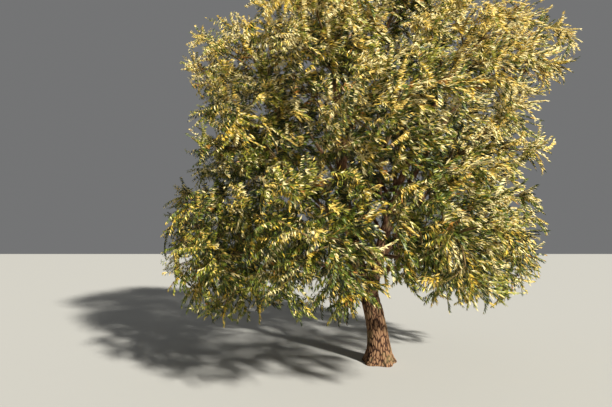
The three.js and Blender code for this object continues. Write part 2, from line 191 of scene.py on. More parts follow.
# Bark
TRUNK_TUBE = {"step": 0.05, "sides": 48}
STUB_TUBE = {"step": 0.035, "sides": 32}
BOUGH_TUBE = {"step": 0.03, "face": 0.018, "sides": (12, 64)}
SKIN = {"voxel": 0.012, "smoothing": 6}
PATTERN_STEP = 0.02  # between the sections that the trunk's skin takes its pattern from
FORK = {"height": 0.22, "share": 0.74}  # the trunk's bark thins to this share as it turns into boughs
STUB = 0.9  # how far the trunk's bark takes in the boughs that leave it
SEAM = 0.14  # how far it and the boughs' bark overlap there
SEAM_THINNING = 0.93  # each thins to this share of itself, to go under the other
LIMB_APART = 3.0  # metres between two limbs in the bark's pattern
RELIEF = {"start": 0.02, "over": 0.17, "least": 0.06}  # radii over which the relief deepens
RELIEF_POWER = 0.8
PLATES = {"warp_scale": 0.9, "warp": 0.45, "edge": 0.32, "height": 0.85}
GRAIN = {"octaves": ((3.1, 0.5), (7.3, 0.25)), "height": 0.2}
BARK_SEED = 1
BARK_LEVEL = 0.55  # the height, between fissure and ridge, that stays on the limb's own surface
OLD_BARK = 0.13  # radius from which a limb's bark is fully fissured
YOUNG_CONTRAST = 0.4  # how much of the fissures' colour a young limb shows
# The near-black crack colour at the bottom of the fissures is painted shade, over the bark's own darker
# colour there
BARK_STOPS = (0.08, 0.48, 0.92)  # heights of the crack's, the plate's and the ridge's colour
FIBRE = {"noise": 0.018, "stretch": 0.16, "share": 0.5}
MOSS_PATCH = 0.35
CORNERS_AT_ONCE = 20000  # to save memory

# Finishes: roughness and specular level
DOWNY = (0.62, 0.3)
WAXY = (0.48, 0.45)
TWIG_BARK = (0.7, 0.3)
SHOOT_BARK = (0.55, 0.4)
MATT_PAINT = (0.9, 0.2)

# Stage
FLOOR_SIZE = 60
SUN = {"way": (-0.56, 0.65, -0.51), "angle": 4, "colour": (1.0, 0.96, 0.88)}
CAMERA = {"place": (-1.74, -10.0, 2.98), "tilt": 4.62, "lens": 24, "sensor": 36}

# Kinds of leaves, dealt out by spray, with what share of the sprays has each in the crown's shade,
# on the left and low side of its outside and on the right and high side of its outside. The darker
# kinds deep in the crown and low on the left are painted shade. The paler kinds high on the right
# are partly painted light and partly undersides turned by the wind.
LEAF_KINDS = {
    "silver_underside": (0.01, 0.06, 0.31),
    "cream_underside": (0.01, 0.05, 0.22),
    "olive": (0.15, 0.19, 0.16),
    "green": (0.22, 0.3, 0.11),
    "deep_green": (0.62, 0.32, 0.14),
    "gold": (0.02, 0.08, 0.05),
    "russet": (0.01, 0.01, 0.02),
}


def linear(hex_colour):
    """An sRGB hex colour in linear numbers"""
    parts = [int(hex_colour[i : i + 2], 16) / 255 for i in (1, 3, 5)]
    return [c / 12.92 if c <= 0.04045 else ((c + 0.055) / 1.055) ** 2.4 for c in parts]


def colour_setting(name, description, hex_colour):
    """A colour that a user can change"""
    return FloatVectorProperty(
        name=name, description=description, default=linear(hex_colour), subtype="COLOR", min=0, max=1
    )


def number_setting(name, description, value, **more):
    """A number that a user can change"""
    return FloatProperty(name=name, description=description, default=value, **more)


# Settings


class LeafSettings(bpy.types.PropertyGroup):
    """Sizes and colours of the leaves"""

    length: number_setting("Leaf Length", "Length of a full-grown leaf", 0.097, unit="LENGTH")
    width: number_setting("Leaf Width", "Width of a full-grown leaf", 0.0225, unit="LENGTH")
    spacing: number_setting("Leaf Spacing", "Distance between leaves on a shoot", 0.0114, unit="LENGTH")
    shoots: number_setting("Shoots", "Leafy shoots for each cubic metre of the crown", 50, min=1)
    wind: number_setting("Wind", "How far the wind turns leaves towards the right", 1.1)
    silver_underside: colour_setting("Silver Underside", "Downy underside turned to the light", "#e6d79c")
    cream_underside: colour_setting("Cream Underside", "Underside of a yellowing leaf", "#dec064")
    olive: colour_setting("Olive", "Upper side of a fading leaf", "#8d8c30")
    green: colour_setting("Green", "Upper side of a green leaf", "#56651a")
    # Dealt mostly deep in the crown and low on the left, this dark green is painted shade
    deep_green: colour_setting("Deep Green", "Upper side of a leaf grown in shade", "#232d0a")
    gold: colour_setting("Gold", "Leaf in autumn yellow", "#cfae3c")
    russet: colour_setting("Russet", "Leaf about to fall", "#a3702a")


class BarkSettings(bpy.types.PropertyGroup):
    """Relief and colours of the bark"""

    fissure_spacing: number_setting("Fissure Spacing", "Between bark fissures", 0.055, unit="LENGTH")
    fissure_length: number_setting("Fissure Length", "Length of a bark plate", 0.2, unit="LENGTH")
    fissure_depth: number_setting("Fissure Depth", "Depth of a bark fissure", 0.017, unit="LENGTH")
    ridge: colour_setting("Ridge", "Weathered top of a bark ridge", "#8f7053")
    plate: colour_setting("Plate", "Side of a bark ridge", "#694a35")
    crack: colour_setting("Crack", "Bottom of a fissure", "#2a1c14")
    # The crack's near-black is partly painted shade in the fissures, over the bark's own darker colour there
    moss: colour_setting("Moss", "Green film on the bark", "#6d6a45")
    twig: colour_setting("Twig", "Bark of young twigs", "#6f5a35")
    shoot: colour_setting("Shoot", "Bark of this year's shoots", "#94823f")


class StageSettings(bpy.types.PropertyGroup):
    """Floor and light"""

    floor: colour_setting("Floor", "Studio floor", "#b3b3af")
    sky: colour_setting("Surround", "Studio surround", "#e6e7e8")
    surround_strength: number_setting("Surround Light", "Strength of the light from all sides", 0.22, min=0)
    sun_strength: number_setting("Key Light", "Strength of the key light", 8.2, min=0)


class WillowSettings(bpy.types.PropertyGroup):
    """All settings of the willow"""

    leaf: PointerProperty(type=LeafSettings)
    bark: PointerProperty(type=BarkSettings)
    stage: PointerProperty(type=StageSettings)


# Vectors and curves


def unit(vectors):
    """Vectors at length 1"""
    return vectors / np.maximum(np.linalg.norm(vectors, axis=-1, keepdims=True), 1e-12)


def bezier(controls, share):
    """Points of a Bezier curve, or of many curves whose control points are stacked"""
    points = list(controls)
    share = np.asarray(share, float)[..., None]
    while len(points) > 1:
        points = [a + (b - a) * share for a, b in zip(points, points[1:])]
    return points[0]


def reaches(path):
    """How far along a path each of its points is"""
    return np.concatenate([[0], np.cumsum(np.linalg.norm(np.diff(path, axis=0), axis=1))])


def seeded(seed):
    """The source's first random number from a seed"""
    return (seed * 1664525 + 1013904223) % 4294967296 / 4294967296


def chance(what, size, random):
    """Random numbers between what this is at least and at most"""
    least, more = CHANCE[what]
    return least + more * random.random(size)


def ramp(values, start, over, least=0):
    """From the least, up to the start, to 1 where the values are this much over it"""
    return np.clip((values - start) / over, least, 1)


class Limb:
    """The trunk or a bough: its path and what springs from it"""

    def __init__(self, name, place, shares, carrier=None, share=0.0, thickest=1.0):
        self.name, self.place, self.shares = name, place, np.array(shares)
        self.carrier, self.share, self.thickest = carrier, share, thickest
        self.taken, self.feeds = [], 1
        steps = place(np.linspace(0, 1, 201))
        self.length = np.linalg.norm(np.diff(steps, axis=0), axis=1).sum()

    def along(self, share):
        low = np.maximum(0, np.asarray(share, float) - 1e-4)
        high = np.minimum(1, np.asarray(share, float) + 1e-4)
        return unit(self.place(high) - self.place(low))

    def radius(self, share):
        return self.foot_radius + (self.tip_radius - self.foot_radius) * share


# Lobes of the crown


class Lobe:
    """One mass of foliage and the space that it keeps to"""

    def __init__(self, ring_index, i):
        ring, count, turn, x, z, reach, wide, tall, angle, rise, droop, branches = RINGS[ring_index]
        self.name = f"{ring}_{i + 1}" if count > 1 else ring
        own_z, own_reach, own_wide, own_tall = OWN_SHAPE.get(self.name, (0, 0, 0, 0))
        around = math.radians(turn + 360 * i / count)
        out = reach + own_reach
        self.middle = np.array((x + out * math.cos(around), out * math.sin(around), z + own_z))
        self.half = np.array((wide + own_wide, wide + own_wide, tall + own_tall))
        self.angle, self.rise, self.droop, self.branches = angle, rise, droop, branches
        self.seed = 100 * (ring_index + 1) + i

    def fill(self, offsets):
        """0 at the middle and 1 on the outline"""
        return (np.abs(offsets / self.half) ** FULLNESS).sum(axis=-1) ** (1 / FULLNESS)

    def extent(self, way):
        return 1 / self.fill(way)

    def meet(self, lobes):
        """Sets the walls between this lobe and the others: normals and distances"""
        self.normals, self.distances = [], []
        for other in lobes:
            apart = np.linalg.norm(other.middle - self.middle)
            if other is self:
                continue
            normal = (other.middle - self.middle) / apart
            own, theirs = self.extent(normal), other.extent(normal)
            if own + theirs > apart:
                share = 0.5 + (own**2 - theirs**2) / (2 * apart**2)
                self.normals.append(normal)
                self.distances.append(normal @ self.middle + apart * share)

    def room(self, way, margin=0.0):
        """How far one can go from the middle along each direction, this far inside the outline and
        the ground's side"""
        normals = np.array(self.normals + [-UP])
        distances = np.array(self.distances + [-LOWEST_LEAF - margin])
        rate = way @ normals.T
        spare = distances - normals @ self.middle
        reaches = np.where(rate > 1e-9, spare / np.maximum(rate, 1e-9), np.inf)
        far = np.minimum(self.extent(way) - margin, reaches.min(axis=-1))
        return np.maximum(0, far - SPACE_GAP)


def make_lobes():
    """All lobes of the crown, with their walls"""
    lobes = [Lobe(k, i) for k, ring in enumerate(RINGS) for i in range(ring[1])]
    for lobe in lobes:
        lobe.meet(lobes)
    return lobes


# Limbs


def growth_cost(ends, feet, alongs, rule, crowded=None):
    """What it costs to grow from each foot to each end: short, or near the rule's length, at about
    the rule's angle from the carrier, and hanging if the rule droops"""
    way = ends[:, None] - feet[None]
    reach = np.linalg.norm(way, axis=-1)
    cosine = np.clip((way * alongs[None]).sum(axis=-1) / np.maximum(reach, 1e-9), -1, 1)
    off = (np.degrees(np.arccos(cosine)) - rule["angle"]) / rule["angle_room"]
    far = 1 + ((reach / rule["length"] - 1) * LENGTH_COST) ** 2 if "length" in rule else reach
    hang = 1 + rule.get("droop", 0) * (1 + way[..., 2] / np.maximum(reach, 1e-9))
    cost = far * (1 + off**2) ** 2 * hang**2
    if crowded is not None:
        cost = cost * np.where(crowded, rule["crowding_cost"], 1)
    if "rise" in rule:
        cost[way[..., 2] < rule["rise"] * np.hypot(way[..., 0], way[..., 1])] = np.inf
    return cost


def make_trunk():
    """The trunk is upright through its flare and leans above it"""
    straight = np.array((0, 0, TRUNK["flare_height"]))
    bend = np.array((0, 0, TRUNK["bend_height"]))
    fork = np.array(TRUNK["fork"])
    steps = np.vstack([[np.zeros(3)], bezier((straight, bend, fork), np.linspace(0, 1, 401))])
    reach = reaches(steps)

    def place(share):
        at = np.asarray(share, float) * reach[-1]
        return np.stack([np.interp(at, reach, steps[:, k]) for k in range(3)], axis=-1)

    trunk = Limb("trunk", place, TRUNK["shares"])
    trunk.foot_radius, trunk.tip_radius = TRUNK["foot_radius"], TRUNK["fork_radius"]
    return trunk


def set_heading(lobe):
    """A lobe's heading is away from a point on the line of the trunk lower than the lobe"""
    x, y, z = TRUNK["fork"]
    away = math.hypot(lobe.middle[0] - x, lobe.middle[1] - y)
    height = max(z * HUB["lowest"], lobe.middle[2] - HUB["slope"] * away)
    hub = np.array((x * min(1, height / z), y, height))
    lobe.heading = unit(lobe.middle - hub)
    back = -lobe.heading
    lobe.entry = lobe.middle + back * lobe.room(back) * BOUGH["entry"]


def bough_path(foot, leave, handle, swing, lobe):
    """Bends from the way a bough leaves its foot to the way it enters its mass"""
    way = lobe.entry - foot
    reach = np.linalg.norm(way)
    arrive = unit(unit(way) + lobe.heading * BOUGH["arrive"])
    sideways = unit(np.cross(way, UP)) * swing * reach
    handle_out = foot + leave * reach * handle + sideways
    handle_in = lobe.entry - arrive * reach * BOUGH["handle_in"] - sideways
    controls = (foot, handle_out, handle_in, lobe.entry)
    return lambda share: bezier(controls, share)


def is_crowded(limb, share):
    return any(abs(taken - share) * limb.length < BOUGH["crowding"] for taken in limb.taken)


def plan_bough(lobe, limbs):
    """The leader goes on from the trunk's top, and each later bough springs from a limb before it"""
    name = f"bough_{lobe.name}"
    if len(limbs) == 1:
        along = limbs[0].along(1)
        foot = limbs[0].place(1) + along * CLEARANCE
        path = bough_path(foot, along, LEADER["handle_out"], 0, lobe)
        return Limb(name, path, BOUGH["shares"], limbs[0], 1.0, LEADER["thickest_share"])
    feet = np.vstack([limb.place(limb.shares) for limb in limbs])
    alongs = np.vstack([limb.along(limb.shares) for limb in limbs])
    owners = [(limb, share) for limb in limbs for share in limb.shares]
    crowded = np.array([is_crowded(limb, share) for limb, share in owners])
    rule = {**BOUGH_RULE, "angle": lobe.angle, "rise": lobe.rise}
    best = int(np.argmin(growth_cost(lobe.entry[None], feet, alongs, rule, crowded)[0]))
    carrier, share = owners[best]
    carrier.taken.append(share)
    leave = unit(unit(lobe.entry - feet[best]) + alongs[best] * BOUGH["leave"])
    swing = (2 * seeded(lobe.seed + 50) - 1) * BOUGH["swing"]
    path = bough_path(feet[best], leave, BOUGH["handle_out"], swing, lobe)
    return Limb(name, path, BOUGH["shares"], carrier, share, BOUGH["thickest_share"])


def make_limbs(lobes):
    """The trunk and a bough for each lobe, with their radii"""
    limbs = [make_trunk()]
    for lobe in lobes:
        set_heading(lobe)
        lobe.bough = plan_bough(lobe, limbs)
        limbs.append(lobe.bough)
    for bough in reversed(limbs[1:]):
        bough.carrier.feeds += bough.feeds
    for bough in limbs[1:]:
        wanted = BOUGH["tip_radius"] * math.sqrt(bough.feeds) + BOUGH["taper_per_metre"] * bough.length
        bough.foot_radius = min(wanted, bough.carrier.radius(bough.share) * bough.thickest)
        bough.tip_radius = min(BOUGH["tip_radius"], bough.foot_radius * BOUGH["tip_share"])
    return limbs


LOBES = make_lobes()
LIMBS = make_limbs(LOBES)


# Bark meshes


class Spine:
    """Sections along a limb: where they are, how they are turned, and their radii"""

    def __init__(self, limb, step, start=0, end=None):
        end = limb.length if end is None else end
        # An arc-length scale, so that the bark's plates have one length all along
        fine = np.linspace(0, 1, 801)
        reach = reaches(limb.place(fine))
        count = max(2, round((end - start) / step) + 1)
        self.reach = np.linspace(start, min(end, reach[-1]), count)
        share = np.interp(self.reach, reach, fine)
        self.limb = limb
        self.middle = limb.place(share)
        self.along = limb.along(share)
        self.radius = limb.radius(share)
        # Carried from the limb's foot, so that all spines of one limb turn alike
        alongs = limb.along(fine)
        first = np.array((1.0, 0, 0)) if abs(alongs[0][0]) < 0.7 else UP
        carried = []
        for along in alongs:
            first = unit(first - along * (first @ along))
            carried.append(first)
        across = np.array(carried)[np.searchsorted(fine, share).clip(max=len(fine) - 1)]
        self.across = unit(across - self.along * (across * self.along).sum(axis=1, keepdims=True))
        self.other = np.cross(self.along, self.across)

    def matrix(self, i):
        wide, deep = self.across[i] * self.radius[i], self.other[i] * self.radius[i]
        turned = Matrix((wide, deep, self.along[i])).transposed()
        return Matrix.Translation(Vector(self.middle[i])) @ turned.to_4x4()

    def thin(self, places, shares):
        """Thins it to these shares of its radius at these places along it"""
        self.radius *= np.interp(self.reach, places, shares)


def loft(bm, spine, sides):
    """Adds a closed tube of round sections along a spine"""
    tube = bmesh.new()  # of its own, because each step takes longer in a large one
    rim = bmesh.ops.create_circle(tube, segments=sides, radius=1, matrix=spine.matrix(0))["verts"]
    foot = edges = list(dict.fromkeys(edge for vert in rim for edge in vert.link_edges))
    placed = spine.matrix(0)
    for i in range(1, len(spine.reach)):
        grown = bmesh.ops.extrude_edge_only(tube, edges=edges)["geom"]
        rim = {item for item in grown if isinstance(item, bmesh.types.BMVert)}
        edges = [item for item in grown if isinstance(item, bmesh.types.BMEdge) and set(item.verts) <= rim]
        bmesh.ops.transform(tube, matrix=spine.matrix(i) @ placed.inverted(), verts=list(rim))
        placed = spine.matrix(i)
    bmesh.ops.holes_fill(tube, edges=foot + edges, sides=sides)
    mesh = bpy.data.meshes.new("tube")
    tube.to_mesh(mesh)
    tube.free()
    bm.from_mesh(mesh)
    bpy.data.meshes.remove(mesh)


def flare_out(bm, spine):
    """The trunk's foot flares in buttresses"""
    for vert in bm.verts:
        height = max(0.0, vert.co.z)
        angle = math.atan2(vert.co.y, vert.co.x)
        flare = TRUNK["flare"] * math.exp(-height / TRUNK["flare_height"])
        ripple = 1 + TRUNK["buttress_depth"] * math.cos(TRUNK["buttresses"] * angle - TRUNK["buttress_turn"])
        x, y = (np.interp(height, spine.middle[:, 2], spine.middle[:, k]) for k in range(2))
        out = vert.co - Vector((x, y, vert.co.z))
        if out.length > 0.01:
            vert.co += out.normalized() * flare * ripple


def add_object(name, data):
    """A new object in the scene"""
    made = bpy.data.objects.new(name, data)
    bpy.context.scene.collection.objects.link(made)
    return made


def finish_mesh(bm, name):
    """A mesh object from a bmesh, with its faces outwards"""
    bmesh.ops.recalc_face_normals(bm, faces=bm.faces)
    mesh = bpy.data.meshes.new(name)
    bm.to_mesh(mesh)
    bm.free()
    return add_object(name, mesh)


def remesh(made, voxel, smoothing):
    """Joins what overlaps into one skin of even faces and softens its creases"""
    joined = made.modifiers.new("join", "REMESH")
    joined.mode = "VOXEL"
    joined.voxel_size = voxel
    softened = made.modifiers.new("soften", "SMOOTH")
    softened.iterations = smoothing
    skin = bpy.data.meshes.new_from_object(made.evaluated_get(bpy.context.evaluated_depsgraph_get()))
    made.modifiers.clear()
    old = made.data
    made.data = skin
    bpy.data.meshes.remove(old)
    skin.name = made.name


def read_corners(mesh):
    """A mesh's corners and their normals as arrays"""
    corners, normals = np.empty((2, len(mesh.vertices), 3))
    mesh.vertices.foreach_get("co", corners.ravel())
    mesh.vertex_normals.foreach_get("vector", normals.ravel())
    return corners, normals


def limb_coordinates(corners, spines):
    """Each corner's place across its nearest limb, across it the other way and along it, and that
    limb's radius"""
    best = np.full(len(corners), np.inf)
    local = np.zeros((len(corners), 3))
    radius = np.zeros(len(corners))
    for spine in spines:
        own_stretch = LIMB_APART * LIMBS.index(spine.limb)
        for start in range(0, len(corners), CORNERS_AT_ONCE):
            part = slice(start, start + CORNERS_AT_ONCE)
            apart = np.linalg.norm(corners[part, None] - spine.middle[None], axis=-1) - spine.radius[None]
            nearest = apart.argmin(axis=1)
            gap = apart.min(axis=1)
            closer = gap < best[part]
            out = corners[part] - spine.middle[nearest]
            axes = (spine.across, spine.other, spine.along)
            found = np.stack([(out * axis[nearest]).sum(axis=1) for axis in axes], axis=1)
            found[:, 0] += own_stretch
            found[:, 2] += spine.reach[nearest]
            local[part][closer] = found[closer]
            radius[part][closer] = spine.radius[nearest][closer]
            best[part][closer] = gap[closer]
    return local, radius


def fissures(local, bark):
    """How high each place of the bark stands, from 0 in a fissure to 1 on a ridge"""
    noise.seed_set(BARK_SEED)  # or noise_vector would differ from run to run
    heights = np.empty(len(local))
    scale = (1 / bark.fissure_spacing, 1 / bark.fissure_spacing, 1 / bark.fissure_length)
    for i, (x, y, s) in enumerate(local):
        place = Vector((x * scale[0], y * scale[1], s * scale[2]))
        warped = place + noise.noise_vector(place * PLATES["warp_scale"]) * PLATES["warp"]
        distances, _ = noise.voronoi(warped)
        plate = min(1.0, (distances[1] - distances[0]) / PLATES["edge"])
        grain = sum(noise.noise(place * finer) * share for finer, share in GRAIN["octaves"])
        heights[i] = plate * plate * (3 - 2 * plate) * PLATES["height"] + grain * GRAIN["height"]
    return heights


def raise_bark(made, spines, bark):
    """Moves a limb's skin to the bark's relief, and keeps what the material needs on its corners"""
    mesh = made.data
    corners, normals = read_corners(mesh)
    local, radius = limb_coordinates(corners, spines)
    heights = fissures(local, bark)
    depth = bark.fissure_depth * ramp(radius, **RELIEF) ** RELIEF_POWER
    on_ground = corners[:, 2] < SKIN["voxel"]
    depth[on_ground] = 0
    corners += normals * ((heights - BARK_LEVEL) * depth)[:, None]
    corners[:, 2] = np.maximum(corners[:, 2], 0)
    corners[on_ground, 2] = 0
    mesh.vertices.foreach_set("co", corners.ravel())
    mesh.attributes.new("bark_place", "FLOAT_VECTOR", "POINT").data.foreach_set("vector", local.ravel())
    age = np.clip(radius / OLD_BARK, YOUNG_CONTRAST, 1)
    shown = BARK_LEVEL + (heights - BARK_LEVEL) * age
    mesh.attributes.new("bark_height", "FLOAT", "POINT").data.foreach_set("value", shown)
    mesh.polygons.foreach_set("use_smooth", np.ones(len(mesh.polygons), bool))
    mesh.update()


# Growth inside a lobe


class Shoots:
    """Many limbs of one order at once: their control points, stacked"""

    def __init__(self, feet, bends, ends):
        self.points = np.stack([feet, bends, ends])
        self.feet, self.bends, self.ends = self.points

    def place(self, share):
        """Points at these shares of every path: one row for each path"""
        share = np.broadcast_to(share, (len(self.feet), np.size(share)))
        return bezier(self.points[:, :, None], share)

    def along(self, share):
        share = np.broadcast_to(share, (len(self.feet), np.size(share)))[..., None]
        out = (self.bends - self.feet)[:, None] * (1 - share) + (self.ends - self.bends)[:, None] * share
        return unit(out)


def even_ways(count, lobe, random):
    """Evenly spread directions about a lobe's heading, as in the source"""
    across = unit(np.cross(lobe.heading, UP))
    other = np.cross(lobe.heading, across)
    onward = 1 - (1 - BACK) * (np.arange(count) + 0.5) / count
    turn = np.arange(count) * EVEN_TURN + chance("branch turn", count, random)
    flat = np.sqrt(1 - onward**2)
    spread = across * np.cos(turn)[:, None] + other * np.sin(turn)[:, None]
    return lobe.heading * onward[:, None] + spread * flat[:, None]


def cover(points):
    """How many metres of crown each point has outside it, on the level way out of the crown"""
    axis_x = np.interp(points[:, 2], (0, TRUNK["fork"][2]), (0, TRUNK["fork"][0]))
    out = points - np.stack([axis_x, np.zeros(len(points)), points[:, 2]], axis=1)
    rise = np.clip((points[:, 2] - WAY_OUT["level"]) / WAY_OUT["metres"], *WAY_OUT["rises"])
    way = unit(unit(out) + UP * rise[:, None])
    covered = np.zeros(len(points))
    for k in range(1, COVER["steps"] + 1):
        ahead = points + way * (COVER["step"] * k)
        fills = [lobe.fill(ahead - lobe.middle) for lobe in LOBES]
        covered += COVER["step"] * (np.min(fills, axis=0) < 1)
    return covered


def scatter(lobe, per_cubic_metre, rule, random):
    """Scattered points inside a lobe, fewer deep in the crown, and how deep each is. A lobe that hangs
    straight down is below the crown, in the light."""
    box = 8 * np.prod(lobe.half)
    offsets = (random.random((round(box * per_cubic_metre), 3)) * 2 - 1) * lobe.half
    way = unit(offsets)
    reach = np.linalg.norm(offsets, axis=1)
    inside = (reach < lobe.room(way, rule["margin"])) & (lobe.fill(offsets) > rule["depth"])
    points = lobe.middle + offsets[inside]
    deep = cover(points) * (lobe.droop < 1)
    thinned = ramp(deep, **THINNING) * (1 - SHADE_DENSITY)
    kept = random.random(len(points)) < 1 - thinned
    return points[kept], deep[kept]


def spread_apart(points, count, random):
    """The points that lie furthest from each other"""
    if len(points) <= count:
        return points
    chosen = [int(random.integers(len(points)))]
    apart = np.linalg.norm(points - points[chosen[0]], axis=1)
    while len(chosen) < count:
        chosen.append(int(apart.argmax()))
        apart = np.minimum(apart, np.linalg.norm(points - points[chosen[-1]], axis=1))
    return points[chosen]


def spring(ends, carriers, rule, droop, random):
    """Limbs to these ends, each from where the rule makes it cheapest, and the index of its carrier"""
    shares = np.array(rule["shares"])
    feet = carriers.place(shares).reshape(-1, 3)
    alongs = carriers.along(shares).reshape(-1, 3)
    cost = growth_cost(ends, feet, alongs, {**rule, "droop": droop})
    cost *= chance("growth cost", cost.shape, random)
    best = cost.argmin(axis=1)
    foot, along = feet[best], alongs[best]
    way = ends - foot
    reach = np.linalg.norm(way, axis=1, keepdims=True)
    leave = unit(unit(way) + along * SPRING["along"] + UP * droop * SPRING["arch"])
    return Shoots(foot, foot + leave * reach * SPRING["handle"], ends), best // len(shares)


def grow_stem(lobe):
    """The stem that goes on from the bough's tip past the lobe's middle"""
    along = lobe.bough.along(1)
    foot = lobe.entry + along * CLEARANCE
    tip = lobe.middle + lobe.heading * lobe.room(lobe.heading) * STEM["depth"]
    tip = tip - UP * lobe.droop * lobe.half[2] * STEM["sag"]
    turn = foot + along * np.linalg.norm(tip - foot) / 2
    return Shoots(foot[None], turn[None], tip[None])


def clear_of_limbs(points):
    """Which points are outside the trunk and boughs"""
    free = np.ones(len(points), bool)
    for limb in LIMBS:
        shares = np.linspace(0, 1, max(4, round(limb.length / CLEAR["step"])))
        path = limb.place(shares)
        low, high = path.min(axis=0) - CLEAR["near"], path.max(axis=0) + CLEAR["near"]
        near = ((points > low) & (points < high)).all(axis=1)
        if near.any():
            gap = np.linalg.norm(points[near, None] - path[None], axis=-1) - limb.radius(shares)[None]
            free[near] &= gap.min(axis=1) > CLEAR["gap"]
    return free


def grow(lobe, leaf):
    """All orders of growth in a lobe: stem, branches, twigs and leafy shoots"""
    random = np.random.default_rng(lobe.seed)
    stem = grow_stem(lobe)
    ways = even_ways(round(lobe.branches * BRANCHES_PER_SOLID), lobe, random)
    depth = BRANCH["depth"] * chance("branch depth", len(ways), random)
    ends = lobe.middle + ways * (lobe.room(ways) * depth)[:, None]
    branches, _ = spring(ends, stem, BRANCH_RULE, lobe.droop, random)
    candidates, _ = scatter(lobe, TWIG_CHOICE["candidates"], TWIG, random)
    count = max(TWIG_CHOICE["fewest"], round(len(candidates) / TWIG_CHOICE["for_each"]))
    twig_ends = spread_apart(candidates, count, random)
    twigs, _ = spring(twig_ends, branches, TWIG_RULE, lobe.droop, random)
    ends, deep = scatter(lobe, leaf.shoots, SHOOT, random)
    carriers = Shoots(*np.hstack([twigs.points, branches.points]))
    shoots, owner = spring(ends, carriers, SHOOT_RULE, lobe.droop, random)
    reach = np.linalg.norm(shoots.ends - shoots.feet, axis=1)
    shortest, longest = SHOOT_LENGTHS
    fits = (reach > shortest) & (reach < longest) & clear_of_limbs(shoots.ends)
    shoots = Shoots(*shoots.points[:, fits])
    return stem, branches, twigs, shoots, owner[fits], deep[fits], random


# Twig and leaf meshes


def twig_arrays(paths, order):
    """Corners and faces of twigs that taper to a point, in the sizes of their order of growth"""
    points, sides = order["points"], order["sides"]
    share = np.linspace(0, 1, points)
    middle = paths.place(share)
    along = paths.along(share)
    first = unit(np.cross(paths.ends - paths.feet, ODD_WAY))[:, None]
    across = unit(first - along * (first * along).sum(axis=-1, keepdims=True))
    other = np.cross(along, across)
    foot, tip = order["foot_radius"], order["tip_radius"]
    radius = foot + (tip - foot) * share[:, None, None]
    turns = np.arange(sides) * math.tau / sides
    ring = across[:, :, None] * np.cos(turns)[:, None] + other[:, :, None] * np.sin(turns)[:, None]
    corners = middle[:, :, None] + ring * radius
    count = len(middle)
    body = corners[:, :-1].reshape(count, -1, 3)
    vertices = np.concatenate([body, middle[:, -1:]], axis=1)
    rings = points - 1
    faces = [(0, k + 1, k) for k in range(1, sides - 1)]
    for k in range(rings - 1):
        for j in range(sides):
            a, b = sides * k + j, sides * k + (j + 1) % sides
            faces += [(a, b, b + sides), (a, b + sides, a + sides)]
    last = sides * (rings - 1)
    faces += [(last + j, last + (j + 1) % sides, sides * rings) for j in range(sides)]
    return vertices, np.array(faces)


class Leaves:
    """Where many leaves are, how they are turned and how large they are"""

    def __init__(self, **values):
        self.__dict__.update(values)

    def some(self, kept):
        return Leaves(**{key: value[kept] for key, value in self.__dict__.items()})


def place_leaves(shoots, deep, lobe, leaf, random):
    """Leaves all along the shoots, streaming with the wind"""
    reach = np.linalg.norm(shoots.ends - shoots.feet, axis=1)
    growth = np.interp(deep, *DEEP_GROWTH)
    counts = np.clip(np.round(reach / (leaf.spacing * growth)), *LEAVES_PER_SHOOT).astype(int)
    shoot = np.repeat(np.arange(len(counts)), counts)
    order = np.arange(len(shoot)) - np.repeat(np.cumsum(counts) - counts, counts)
    share = BARE_FOOT + (1 - BARE_FOOT) * (order + IN_STRETCH) / counts[shoot]
    controls = shoots.points[:, shoot]
    late = share[:, None]
    along = unit((controls[1] - controls[0]) * (1 - late) + (controls[2] - controls[1]) * late)
    across = unit(np.cross(along, unit(random.normal(size=(len(reach), 3)))[shoot]))
    other = np.cross(along, across)
    turn = order * EVEN_TURN + chance("leaf turn", len(shoot), random)
    side = across * np.cos(turn)[:, None] + other * np.sin(turn)[:, None]
    uneven = random.normal(size=len(shoot)) * OPENING["spread"]
    opening = np.radians(OPENING["foot"] - OPENING["closing"] * share + uneven)[:, None]
    gusts = chance("gust", len(reach), random)
    root = bezier(controls, share)
    blown = leaf.wind * gusts[shoot] * chance("flutter", len(shoot), random)
    blown *= np.interp(root[:, 2], *CALM)
    hang = UP * (HANG[0] + HANG[1] * lobe.droop)
    turned = along * np.cos(opening) + side * np.sin(opening)
    way = unit(turned + WIND_WAY * blown[:, None] - hang)
    level = unit(np.cross(way, UP))
    caught = random.random(len(shoot)) < CAUGHT
    roll = random.normal(*CAUGHT_ROLL, len(shoot))
    roll = np.where(caught, roll, random.random(len(shoot)) * math.pi)[:, None]
    face = np.cross(level, way) * np.cos(roll) + level * np.sin(roll)
    size = growth[shoot] * chance("leaf size", len(shoot), random) * (1 - TIP_LEAVES * share**3)
    length = leaf.length * size
    return Leaves(
        shoot=shoot,
        root=root,
        way=way,
        face=face,
        across=np.cross(way, face),
        length=length[:, None],
        half=(leaf.width * size * chance("leaf width", len(shoot), random) / 2)[:, None],
        bend=(chance("leaf bend", len(shoot), random) * length)[:, None],
    )


def blades(leaves, outline):
    """Corners and faces of leaves with this outline, which curve back along their ribs"""
    rows = [leaves.root]
    for at, wide in outline:
        rib = leaves.root + leaves.way * leaves.length * at - leaves.face * leaves.bend * at**2
        side = leaves.across * leaves.half * wide
        rows += [rib - side, rib + side]
    rows.append(leaves.root + leaves.way * leaves.length - leaves.face * leaves.bend)
    faces = [(0, 2, 1)]
    for k in range(1, 2 * len(outline) - 1, 2):
        faces += [(k, k + 1, k + 3), (k, k + 3, k + 2)]
    last = 2 * len(outline) - 1
    faces.append((last, last + 1, last + 2))
    return np.stack(rows, axis=1), np.array(faces)


